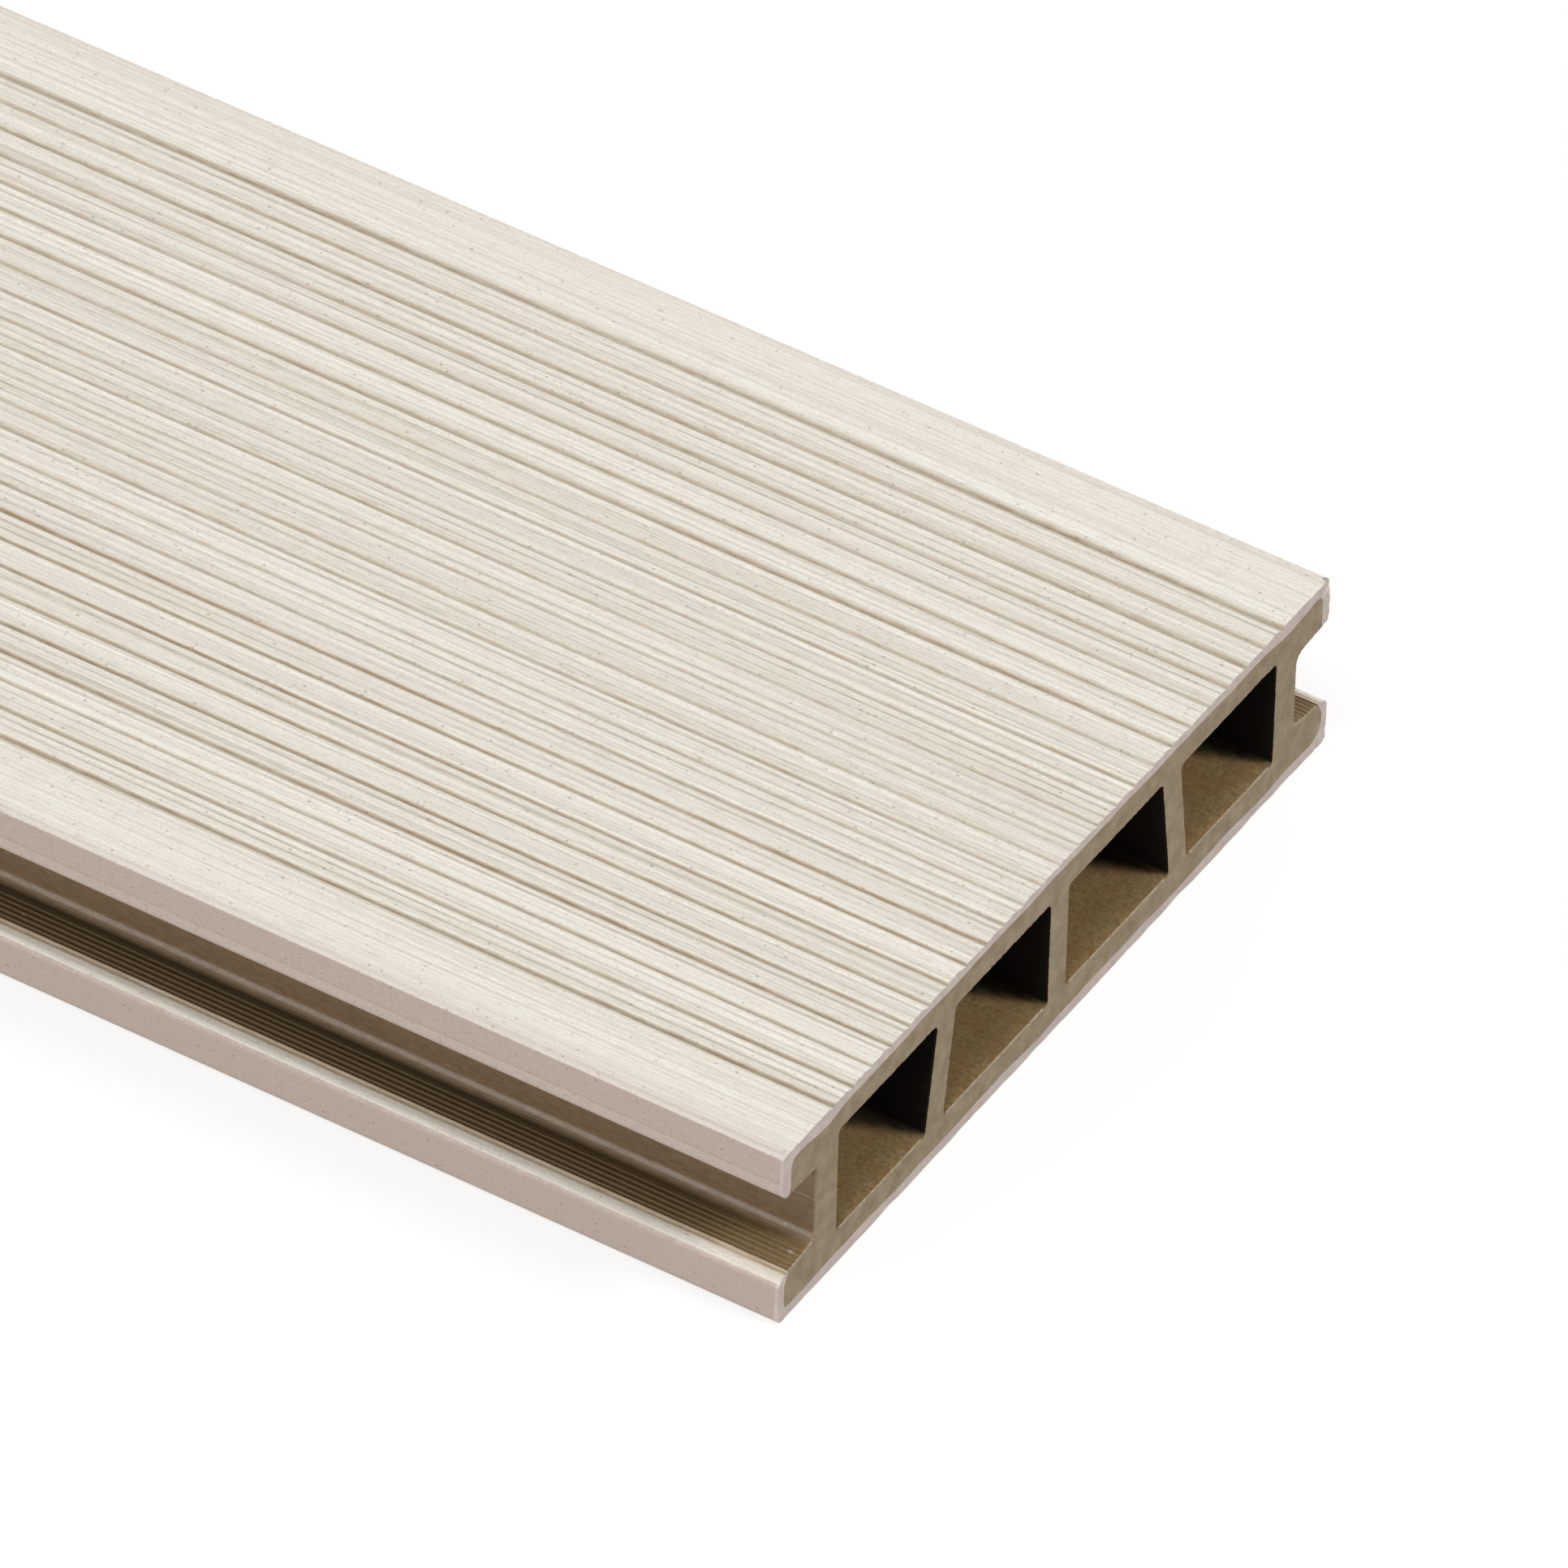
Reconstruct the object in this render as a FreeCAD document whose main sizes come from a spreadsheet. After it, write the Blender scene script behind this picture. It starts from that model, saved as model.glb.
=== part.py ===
import FreeCAD, Part
import Sketcher
import os

# Hollow composite decking board: an extruded core with four chambers, a ribbed top cap and a base cap.
# Millimetres. X runs along the board, Y across it, Z up, with the floor at Z 0 and the middle at X 0, Y 0.

os.makedirs("parts", exist_ok=True)
doc = FreeCAD.newDocument("decking_board")
sizes = doc.addObject("Spreadsheet::Sheet", "sizes")

# Driving sizes, as read from the section at the cut end.
driving = [
    ("board_length", "2200"),       # a stock length
    ("board_width", "140"),         # across the lower lips
    ("board_thickness", "30"),
    ("cap_thickness", "1.8"),       # ribbed cap on the top face
    ("cap_side", "1.9"),            # the same cap down the upper lip's outer face
    ("base_cap_thickness", "1.9"),
    ("base_cap_side", "1.4"),
    ("slot_depth", "8.8"),          # clip slot, from the lower lip's outer face to its back wall
    ("lip_set_back", "0.5"),        # upper lip's outer face, in from the lower lip's
    ("upper_lip_height", "7.8"),    # top face to the upper lip's tip
    ("upper_lip_taper", "0.5"),     # the lip thickens by this towards its root
    ("lower_lip_height", "8.1"),    # floor to the crest of the lower lip
    ("lower_lip_taper", "0.7"),
    ("lip_bevel_width", "2.4"),     # sloping outer shoulder of the lower lip
    ("lip_bevel_drop", "0.7"),
    ("side_wall", "5.6"),           # between the clip slot and the outer chamber
    ("web_thickness", "4.8"),
    ("web_share_top", "0.515"),     # outer web's middle, as a share of the cavity's half width
    ("web_share_base", "0.560"),
    ("top_wall", "5.65"),           # above the chambers, cap included
    ("floor_wall", "6.1"),          # below the chambers, cap included
    ("groove_margin", "13"),        # to the bottom of the first and the last groove
    ("groove_pitch", "4.75"),
    ("groove_near_flank", "1.5"),   # gentle side of a groove, towards -Y
    ("groove_far_flank", "0.5"),    # steep side, towards +Y
    ("groove_floor", "0.2"),
    ("groove_depth", "0.65"),
    ("edge_round", "1.0"),          # top edges of the board
    ("lip_round", "1.2"),           # tip of the upper lip
    ("base_round", "1.0"),          # bottom edges of the board
    ("bevel_round", "0.5"),         # edge between the lower lip's shoulder and its outer face
    ("core_round", "1.4"),          # upper outer corners of the core, under the cap
    ("core_base_round", "2.0"),     # lower outer corners of the core
    ("slot_round", "1.3"),          # inner corners of the clip slots
    ("chamber_round", "0.9"),
]

# Places worked out from them: half widths from the middle plane and heights above the floor.
derived = [
    ("half_width", "=board_width / 2"),
    ("lip_reach", "=half_width - lip_set_back"),
    ("slot_wall", "=half_width - slot_depth"),
    ("lip_under", "=board_thickness - upper_lip_height"),
    ("lip_under_root", "=lip_under - upper_lip_taper"),
    ("lip_crest_root", "=lower_lip_height + lower_lip_taper"),
    ("bevel_inner", "=half_width - lip_bevel_width"),
    ("bevel_foot", "=lower_lip_height - lip_bevel_drop"),
    ("core_top", "=board_thickness - cap_thickness"),
    ("core_lip_reach", "=lip_reach - cap_side"),
    ("core_base", "=base_cap_thickness"),
    ("core_base_reach", "=half_width - base_cap_side"),
    ("core_bevel_foot", "=bevel_foot - base_cap_side"),
    ("chamber_top", "=board_thickness - top_wall"),
    ("chamber_base", "=floor_wall"),
    ("cavity_half", "=slot_wall - side_wall"),
    ("web_middle_top", "=cavity_half * web_share_top"),
    ("web_middle_base", "=cavity_half * web_share_base"),
    ("web_outer_top", "=web_middle_top + web_thickness / 2"),
    ("web_outer_base", "=web_middle_base + web_thickness / 2"),
    ("web_inner_top", "=web_middle_top - web_thickness / 2"),
    ("web_inner_base", "=web_middle_base - web_thickness / 2"),
    ("web_half", "=web_thickness / 2"),
    ("groove_floor_height", "=board_thickness - groove_depth"),
    ("groove_last", "=half_width - groove_margin"),
    ("groove_count", "=round(2 * groove_last / groove_pitch) + 1"),
    ("groove_floor_outer", "=groove_last + groove_floor / 2"),
    ("groove_floor_inner", "=groove_last - groove_floor / 2"),
    ("groove_mouth_outer", "=groove_floor_outer + groove_far_flank"),
    ("groove_mouth_inner", "=groove_floor_inner - groove_near_flank"),
    ("groove_span", "=2 * groove_last"),
]

for row, (alias, content) in enumerate(driving + derived, start=1):
    sizes.set("A%d" % row, alias)
    sizes.set("B%d" % row, content)
    sizes.setAlias("B%d" % row, alias)
doc.recompute()


# Current value of a named size.
def size(alias):
    return float(getattr(sizes, alias))


def new_body(label):
    body = doc.addObject("PartDesign::Body", label)
    body.Label = label
    return body


def origin_item(body, role):
    return next(item for item in body.Origin.OriginFeatures if item.Role == role)


# A right-hand run of (across, up) sizes, then the same run on the left-hand side in reverse order.
def both_sides(run):
    right = [(1, across, up) for across, up in run]
    left = [(-1, across, up) for across, up in reversed(run)]
    return right + left


# Closed outline through points of (side, across, up). Side is 1 or -1, across and up name the sizes that
# place the point from the middle plane and from the floor. A point on the floor names none.
def add_outline(sketch, points):
    heights = [size(up) if up else 0 for side, across, up in points]
    places = [FreeCAD.Vector(side * size(across), height, 0)
              for (side, across, up), height in zip(points, heights)]
    first = sketch.GeometryCount
    count = len(points)
    for i in range(count):
        sketch.addGeometry(Part.LineSegment(places[i], places[(i + 1) % count]), False)
    for i in range(count):
        sketch.addConstraint(Sketcher.Constraint("Coincident", first + i, 2, first + (i + 1) % count, 1))
    for i, (side, across, up) in enumerate(points):
        line = first + i
        ends = (-1, 1, line, 1) if side > 0 else (line, 1, -1, 1)
        held = sketch.addConstraint(Sketcher.Constraint("DistanceX", *ends, size(across)))
        sketch.setExpression("Constraints[%d]" % held, "sizes." + across)
        if up:
            held = sketch.addConstraint(Sketcher.Constraint("DistanceY", -1, 1, line, 1, size(up)))
            sketch.setExpression("Constraints[%d]" % held, "sizes." + up)
        else:
            sketch.addConstraint(Sketcher.Constraint("PointOnObject", line, 1, -1))


# Sketch on the body's cross plane.
def new_section(body, name, outlines):
    sketch = body.newObject("Sketcher::SketchObject", name)
    sketch.AttachmentSupport = [(origin_item(body, "YZ_Plane"), "")]
    sketch.MapMode = "FlatFace"
    doc.recompute()
    for points in outlines:
        add_outline(sketch, points)
    doc.recompute()
    return sketch


def extrude(body, sketch, name):
    pad = body.newObject("PartDesign::Pad", name)
    pad.Profile = sketch
    pad.SideType = "Symmetric"
    pad.setExpression("Length", "sizes.board_length")
    doc.recompute()
    return pad


# Pocket along the whole board, both ways from the cross plane.
def cut_along(body, sketch, name):
    before = body.Shape.Volume
    pocket = body.newObject("PartDesign::Pocket", name)
    pocket.Profile = sketch
    pocket.SideType = "Symmetric"
    pocket.setExpression("Length", "sizes.board_length")
    doc.recompute()
    if body.Shape.Volume >= before:
        raise RuntimeError(name + " cuts nothing")
    return pocket


# Fillet the long edges at the given (across, up) sizes, on both sides of the board.
def round_edges(body, name, places, radius):
    base = body.Tip
    chosen = []
    for index, edge in enumerate(base.Shape.Edges, start=1):
        middle = edge.CenterOfMass
        for across, up in places:
            off_across = abs(abs(middle.y) - size(across))
            off_up = abs(middle.z - (size(up) if up else 0))
            if max(off_across, off_up, abs(middle.x)) < 1e-4:
                chosen.append("Edge%d" % index)
    if len(chosen) != 2 * len(places):
        raise RuntimeError("%s found %d edges" % (name, len(chosen)))
    fillet = body.newObject("PartDesign::Fillet", name)
    fillet.Base = (base, chosen)
    fillet.setExpression("Radius", "sizes." + radius)
    doc.recompute()
    return fillet


# Core: one closed section with a clip slot in each side, then the chambers are cut through it.
core = new_body("core")
core_run = [
    ("core_lip_reach", "core_top"),
    ("core_lip_reach", "lip_under"),
    ("slot_wall", "lip_under_root"),
    ("slot_wall", "lip_crest_root"),
    ("bevel_inner", "lower_lip_height"),
    ("core_base_reach", "core_bevel_foot"),
    ("core_base_reach", "core_base"),
]
extrude(core, new_section(core, "core_section", [both_sides(core_run)]), "core_bar")
round_edges(core, "core_shoulders", [("core_lip_reach", "core_top")], "core_round")
round_edges(core, "core_heels", [("core_base_reach", "core_base")], "core_base_round")
round_edges(core, "slot_corners", [("slot_wall", "lip_under_root"), ("slot_wall", "lip_crest_root")], "slot_round")

# The outer webs lean, so each chamber is a trapezium. The middle web stands upright.
outer_chamber = [
    ("cavity_half", "chamber_top"),
    ("cavity_half", "chamber_base"),
    ("web_outer_base", "chamber_base"),
    ("web_outer_top", "chamber_top"),
]
inner_chamber = [
    ("web_inner_top", "chamber_top"),
    ("web_inner_base", "chamber_base"),
    ("web_half", "chamber_base"),
    ("web_half", "chamber_top"),
]
chamber_outlines = []
for run in (outer_chamber, inner_chamber):
    for side in (1, -1):
        chamber_outlines.append([(side, across, up) for across, up in run])
cut_along(core, new_section(core, "chamber_section", chamber_outlines), "chambers")
round_edges(core, "chamber_corners", outer_chamber + inner_chamber, "chamber_round")

# Top cap: a shallow channel over the core and down the outer face of each upper lip.
top_cap = new_body("top_cap")
top_cap_run = [
    ("lip_reach", "board_thickness"),
    ("lip_reach", "lip_under"),
    ("core_lip_reach", "lip_under"),
    ("core_lip_reach", "core_top"),
]
extrude(top_cap, new_section(top_cap, "top_cap_section", [both_sides(top_cap_run)]), "top_cap_bar")
round_edges(top_cap, "cap_seat", [("core_lip_reach", "core_top")], "core_round")
round_edges(top_cap, "top_edges", [("lip_reach", "board_thickness")], "edge_round")
round_edges(top_cap, "lip_tips", [("lip_reach", "lip_under")], "lip_round")

# Ribs: one groove is cut by the board's +Y margin and repeated across to the other margin.
groove_run = [
    (1, "groove_mouth_outer", "board_thickness"),
    (1, "groove_floor_outer", "groove_floor_height"),
    (1, "groove_floor_inner", "groove_floor_height"),
    (1, "groove_mouth_inner", "board_thickness"),
]
groove = cut_along(top_cap, new_section(top_cap, "groove_section", [groove_run]), "groove")
ribs = top_cap.newObject("PartDesign::LinearPattern", "ribs")
ribs.Originals = [groove]
ribs.Direction = (origin_item(top_cap, "Y_Axis"), [""])
ribs.Reversed = True
ribs.setExpression("Length", "sizes.groove_span")
ribs.setExpression("Occurrences", "sizes.groove_count")
top_cap.Tip = ribs
doc.recompute()

# Base cap: a channel under the core that climbs each lower lip and thins out at its crest.
base_cap = new_body("base_cap")
base_cap_run = [
    ("core_base_reach", "core_base"),
    ("core_base_reach", "core_bevel_foot"),
    ("bevel_inner", "lower_lip_height"),
    ("half_width", "bevel_foot"),
    ("half_width", None),
]
extrude(base_cap, new_section(base_cap, "base_cap_section", [both_sides(base_cap_run)]), "base_cap_bar")
round_edges(base_cap, "base_seat", [("core_base_reach", "core_base")], "core_base_round")
round_edges(base_cap, "bevel_edges", [("half_width", "bevel_foot")], "bevel_round")
round_edges(base_cap, "base_edges", [("half_width", None)], "base_round")

for item in doc.Objects:
    if "Invalid" in item.State or "Error" in item.State:
        raise RuntimeError(item.Name + " did not recompute")
for body in (core, top_cap, base_cap):
    shape = body.Shape
    if shape.isNull() or not shape.isValid() or len(shape.Solids) != 1:
        raise RuntimeError(body.Label + " is not one valid solid")
    shape.exportStep("parts/%s.step" % body.Label)
    print(body.Label, "volume", round(shape.Volume), "box", shape.BoundBox)
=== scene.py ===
import bpy
import numpy as np
from mathutils import Matrix, Vector
from mathutils.geometry import delaunay_2d_cdt


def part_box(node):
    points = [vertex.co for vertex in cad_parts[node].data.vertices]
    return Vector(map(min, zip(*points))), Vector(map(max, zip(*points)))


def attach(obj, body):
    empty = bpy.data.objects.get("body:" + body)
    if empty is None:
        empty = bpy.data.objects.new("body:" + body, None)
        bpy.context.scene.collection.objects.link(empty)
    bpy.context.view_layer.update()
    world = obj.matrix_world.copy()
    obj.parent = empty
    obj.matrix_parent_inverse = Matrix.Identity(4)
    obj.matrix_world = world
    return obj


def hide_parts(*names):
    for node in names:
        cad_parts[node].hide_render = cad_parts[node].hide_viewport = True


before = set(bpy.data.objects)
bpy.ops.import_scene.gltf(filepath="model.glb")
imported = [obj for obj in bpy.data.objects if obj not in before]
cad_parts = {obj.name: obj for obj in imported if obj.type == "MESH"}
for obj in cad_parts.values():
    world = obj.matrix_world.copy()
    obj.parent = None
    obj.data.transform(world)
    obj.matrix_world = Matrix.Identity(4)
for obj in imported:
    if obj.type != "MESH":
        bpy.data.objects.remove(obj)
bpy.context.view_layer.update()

mm = 0.001
tiny = 1e-6  # millimetres within which two places are one
boardLow, boardHigh = [np.array(corner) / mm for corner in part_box("base_cap")]
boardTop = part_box("top_cap")[1][2] / mm
endX = boardHigh[0]
print("frame loaded, board", np.round(boardHigh - boardLow, 1), "mm, top at", round(boardTop, 2))


# Section sizes in millimetres: the solids' own, with the top edges and chamber corners a little sharper
section = dict(
    halfWidth=boardHigh[1], top=boardTop, capThickness=1.8, capSide=1.9, baseCap=1.9, baseCapSide=1.4,
    slotDepth=8.8, lipSetBack=0.5, upperLip=7.8, upperLipTaper=0.5, lowerLip=8.1, lowerLipTaper=0.7,
    bevelWidth=2.4, bevelDrop=0.7, sideWall=5.6, web=4.8, webShareTop=0.515, webShareBase=0.56,
    topWall=5.65, floorWall=6.1, edgeRound=0.5, lipRound=1.2, baseRound=1.0, coreRound=1.4,
    chamberRound=0.8,
)


# Half widths from the middle plane and heights above the floor that several pieces share
def sharedPlaces(s):
    p = dict(s)
    p["lipReach"] = s["halfWidth"] - s["lipSetBack"]
    p["lipUnder"] = s["top"] - s["upperLip"]
    p["lipUnderRoot"] = p["lipUnder"] - s["upperLipTaper"]
    p["crestRoot"] = s["lowerLip"] + s["lowerLipTaper"]
    p["coreLipReach"] = p["lipReach"] - s["capSide"]
    p["coreTop"] = s["top"] - s["capThickness"]
    p["slotWall"] = s["halfWidth"] - s["slotDepth"]
    p["bevelInner"] = s["halfWidth"] - s["bevelWidth"]
    p["bevelFoot"] = s["lowerLip"] - s["bevelDrop"]
    p["coreBaseReach"] = s["halfWidth"] - s["baseCapSide"]
    p["coreBevelFoot"] = p["bevelFoot"] - s["baseCapSide"]
    p["cavityHalf"] = p["slotWall"] - s["sideWall"]
    p["webTop"] = p["cavityHalf"] * s["webShareTop"]
    p["webBase"] = p["cavityHalf"] * s["webShareBase"]
    p["chamberTop"] = s["top"] - s["topWall"]
    return p


place = sharedPlaces(section)


waveShares = (1.0, 0.61, 0.37, 0.23)
waveSpan = 1.6


# Smooth noise of about -1 to 1: four sines of unequal wavelength with seeded phases
def slowNoise(x, seed, wavelength):
    rng = np.random.default_rng(seed)
    total = np.zeros_like(x, dtype=float)
    for share in waveShares:
        total = total + np.sin(2 * np.pi * x / (wavelength * share) + rng.uniform(0, 2 * np.pi)) * share
    return total / waveSpan


# Slow noise along a groove, rib or line, shifted along x from one to the next
def slowWander(x, index, amount, seed, wavelength, shift):
    return amount * slowNoise(x + shift * index, seed, wavelength)


# Bell curve: one at the middle, falling to 1 / e at one width from it
def softBump(x, middle, width):
    return np.exp(-((x - middle) / width) ** 2)


# Open line through (across, up, radius) corners: straight runs filled every step, corners as tangent arcs.
# A radius of zero leaves its corner sharp.
def roundedLine(corners, step, arcSteps=7):
    points = np.array([corner[:2] for corner in corners], dtype=float)
    bends = [points[:1]]
    for here, before, after, corner in zip(points[1:-1], points[:-2], points[2:], corners[1:-1]):
        radius = corner[2]
        if radius == 0:
            bends.append(here[None])
            continue
        back = (before - here) / np.linalg.norm(before - here)
        ahead = (after - here) / np.linalg.norm(after - here)
        half = 0.5 * np.arccos(np.dot(back, ahead))
        centre = here + (back + ahead) / np.linalg.norm(back + ahead) * radius / np.sin(half)
        first = here + back * radius / np.tan(half) - centre
        last = here + ahead * radius / np.tan(half) - centre
        start = np.arctan2(first[1], first[0])
        turn = (np.arctan2(last[1], last[0]) - start + np.pi) % (2 * np.pi) - np.pi
        angle = start + turn * np.linspace(0, 1, arcSteps)
        bends.append(centre + radius * np.stack([np.cos(angle), np.sin(angle)], 1))
    bends.append(points[-1:])
    line = np.concatenate(bends)
    length = np.linalg.norm(np.diff(line, axis=0), axis=1)
    line = line[np.concatenate([[True], length > tiny])]
    length = length[length > tiny]
    parts = np.maximum(np.ceil(length / step).astype(int), 1)
    filled = [a + (b - a) * (np.arange(n) / n)[:, None] for a, b, n in zip(line[:-1], line[1:], parts)]
    return np.concatenate(filled + [line[-1:]])


# Outward normals of a closed ring that runs anticlockwise round the material
def ringNormals(ring):
    along = np.roll(ring, -1, axis=0) - np.roll(ring, 1, axis=0)
    along = along / np.linalg.norm(along, axis=1)[:, None]
    return np.stack([along[:, 1], -along[:, 0]], 1)


# The same line on the other side of the board, run backwards so that a ring keeps its direction
def mirrored(line):
    return (line * [-1, 1])[::-1]


# Places along the board: close together by the end that the photo shows, further apart elsewhere.
# The close ones stop half a last step short of the last two.
def stations(fineLength, fineStep, coarseStep, lastStep):
    fine = np.arange(endX - fineLength, endX - lastStep * 1.5, fineStep)
    coarse = np.linspace(-endX + lastStep, fine[0], int((fine[0] + endX) / coarseStep))[:-1]
    return np.concatenate([[-endX], coarse, fine, [endX - lastStep, endX]])


# Places along a piece that is the same all along: close together only by its two ends
def endStations(depths, step):
    depths = np.array(depths)
    middle = np.arange(-endX + depths[-1] + step, endX - depths[-1], step)
    return np.concatenate([-endX + depths, middle, (endX - depths)[::-1]])


biteShape = (0.3, 0.7, 1.0, 0.7, 0.3)
biteRarity = 6


# Sparse bites along a ring's end: a high power of chance, spread over a few points
def nibbles(rng, count):
    return np.convolve(rng.random(count) ** biteRarity, biteShape, mode="same")


mergeGap = 1e-7


# Triangles that fill the area inside the rings and outside the holes (winding number of one)
def fillRings(rings):
    starts = np.cumsum([0] + [len(ring) for ring in rings])
    points = np.concatenate(rings)
    edges = np.concatenate([np.stack([np.arange(len(r)), np.roll(np.arange(len(r)), -1)], 1) + start
                            for r, start in zip(rings, starts)])
    found = delaunay_2d_cdt([Vector(p) for p in points], edges.tolist(), [], 0, mergeGap)
    source = np.array([ids[0] for ids in found[3]])
    triangles = source[np.array(found[2])]
    middle = points[triangles].mean(axis=1)
    a = points[edges[:, 0]][None] - middle[:, None]
    b = points[edges[:, 1]][None] - middle[:, None]
    crossed = a[..., 0] * b[..., 1] - a[..., 1] * b[..., 0]
    turned = np.arctan2(crossed, (a * b).sum(-1)).sum(1)
    triangles = triangles[turned > np.pi]
    corner = points[triangles]
    first = corner[:, 1] - corner[:, 0]
    second = corner[:, 2] - corner[:, 0]
    flipped = first[:, 0] * second[:, 1] - first[:, 1] * second[:, 0] < 0
    triangles[flipped] = triangles[flipped][:, ::-1]
    return triangles


sharpAngle = 32.0  # degrees


# Closed bar: each ring of grids (stations by points) is a skin, and the rings' area closes both ends.
# Quads join station i to i + 1 and ring point j to j + 1. Rims mark the ring points whose end edge is paler,
# and dulls the ring points that wear the second material.
def sweptBar(name, grids, rims, dulls, marks, materials):
    corners = np.concatenate([grid.reshape(-1, 3) for grid in grids]) * mm
    quads = []
    edge = []
    worn = []
    firstIds = []
    lastIds = []
    start = 0
    for grid, rim, dull in zip(grids, rims, dulls):
        rows, columns = grid.shape[:2]
        ids = start + np.arange(rows * columns).reshape(rows, columns)
        onward = np.roll(ids, -1, axis=1)
        quads.append(np.stack([ids[:-1], onward[:-1], onward[1:], ids[1:]], -1).reshape(-1, 4))
        broken = np.zeros((rows - 1, columns))
        broken[[0, -1]] = np.minimum(rim, np.roll(rim, -1))
        edge.append(broken.ravel())
        worn.append(np.tile(dull & np.roll(dull, -1), rows - 1))
        firstIds.append(ids[0])
        lastIds.append(ids[-1])
        start += rows * columns
    quads = np.concatenate(quads)
    ends = []
    for ids, row, order in ((firstIds, 0, -1), (lastIds, -1, 1)):
        fill = fillRings([grid[row][:, 1:] for grid in grids])
        ends.append(np.concatenate(ids)[fill][:, ::order])
    ends = np.concatenate(ends)
    mesh = bpy.data.meshes.new(name)
    mesh.from_pydata(corners, [], quads.tolist() + ends.tolist())
    mesh.polygons.foreach_set("use_smooth", np.ones(len(mesh.polygons), dtype=bool))
    mesh.set_sharp_from_angle(angle=np.radians(sharpAngle))
    faceMarks = dict(rim=np.concatenate(edge + [np.zeros(len(ends))]),
                     cut=np.concatenate([np.zeros(len(quads)), np.ones(len(ends))]))
    for markName, values in faceMarks.items():
        mesh.attributes.new(markName, "FLOAT", "FACE").data.foreach_set("value", values.astype(np.float32))
    for markName, values in marks.items():
        flat = np.concatenate([value.reshape(-1) for value in values]).astype(np.float32)
        mesh.attributes.new(markName, "FLOAT", "POINT").data.foreach_set("value", flat)
    for material in materials:
        mesh.materials.append(material)
    worn = np.concatenate(worn + [np.zeros(len(ends), dtype=bool)])
    mesh.polygons.foreach_set("material_index", worn.astype(np.int32))
    piece = bpy.data.objects.new(name, mesh)
    bpy.context.scene.collection.objects.link(piece)
    print(name, "faces", len(mesh.polygons), "triangles", len(quads) * 2 + len(ends))
    return piece


# Node helpers
def addNode(tree, kind, **settings):
    node = tree.nodes.new(kind)
    for key, value in settings.items():
        setattr(node, key, value)
    return node


def setInputs(node, **values):
    for key, value in values.items():
        node.inputs[key].default_value = value
    return node


# Links a socket, or sets it to a number or a colour
def plug(tree, socket, value):
    if isinstance(value, bpy.types.NodeSocket):
        tree.links.new(value, socket)
    elif isinstance(value, (int, float)):
        socket.default_value = value
    elif value is not None:
        socket.default_value = (*value, 1.0)


# Colour between two colours or links, by a factor link
def mixColour(tree, factor, first, second):
    node = addNode(tree, "ShaderNodeMix", data_type="RGBA", clamp_factor=True)
    plug(tree, node.inputs[0], factor)
    plug(tree, node.inputs[6], first)
    plug(tree, node.inputs[7], second)
    return node.outputs[2]


def mathNode(tree, operation, first, second=None, clamp=False):
    node = addNode(tree, "ShaderNodeMath", operation=operation, use_clamp=clamp)
    plug(tree, node.inputs[0], first)
    plug(tree, node.inputs[1], second)
    return node.outputs[0]


def remap(tree, value, low, high, newLow=0.0, newHigh=1.0):
    node = addNode(tree, "ShaderNodeMapRange", clamp=True)
    plug(tree, node.inputs["Value"], value)
    for key, number in (("From Min", low), ("From Max", high), ("To Min", newLow), ("To Max", newHigh)):
        node.inputs[key].default_value = number
    return node.outputs["Result"]


def newGroup(name, inputs, output):
    group = bpy.data.node_groups.new(name, "ShaderNodeTree")
    for label, kind, value in inputs:
        socket = group.interface.new_socket(label, in_out="INPUT", socket_type=kind)
        if value is not None:
            socket.default_value = value
    group.interface.new_socket(output, in_out="OUTPUT", socket_type="NodeSocketFloat")
    return group, addNode(group, "NodeGroupInput"), addNode(group, "NodeGroupOutput")


# Noise drawn out along the board: Along and Across are repeats per metre
def makeGrainGroup():
    group, entry, leave = newGroup(
        "boardGrain",
        [("Vector", "NodeSocketVector", None), ("Along", "NodeSocketFloat", 8.0),
         ("Across", "NodeSocketFloat", 600.0), ("Detail", "NodeSocketFloat", 3.0)], "Grain")
    scale = addNode(group, "ShaderNodeCombineXYZ")
    group.links.new(entry.outputs["Along"], scale.inputs[0])
    group.links.new(entry.outputs["Across"], scale.inputs[1])
    group.links.new(entry.outputs["Across"], scale.inputs[2])
    stretch = addNode(group, "ShaderNodeVectorMath", operation="MULTIPLY")
    group.links.new(entry.outputs["Vector"], stretch.inputs[0])
    group.links.new(scale.outputs[0], stretch.inputs[1])
    noise = setInputs(addNode(group, "ShaderNodeTexNoise"), Scale=1.0, Roughness=0.6)
    group.links.new(stretch.outputs[0], noise.inputs["Vector"])
    group.links.new(entry.outputs["Detail"], noise.inputs["Detail"])
    group.links.new(noise.outputs[0], leave.inputs["Grain"])
    return group


fleckShape = dict(stretch=(0.6, 1.0, 1.0), palest=0.35)


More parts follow.
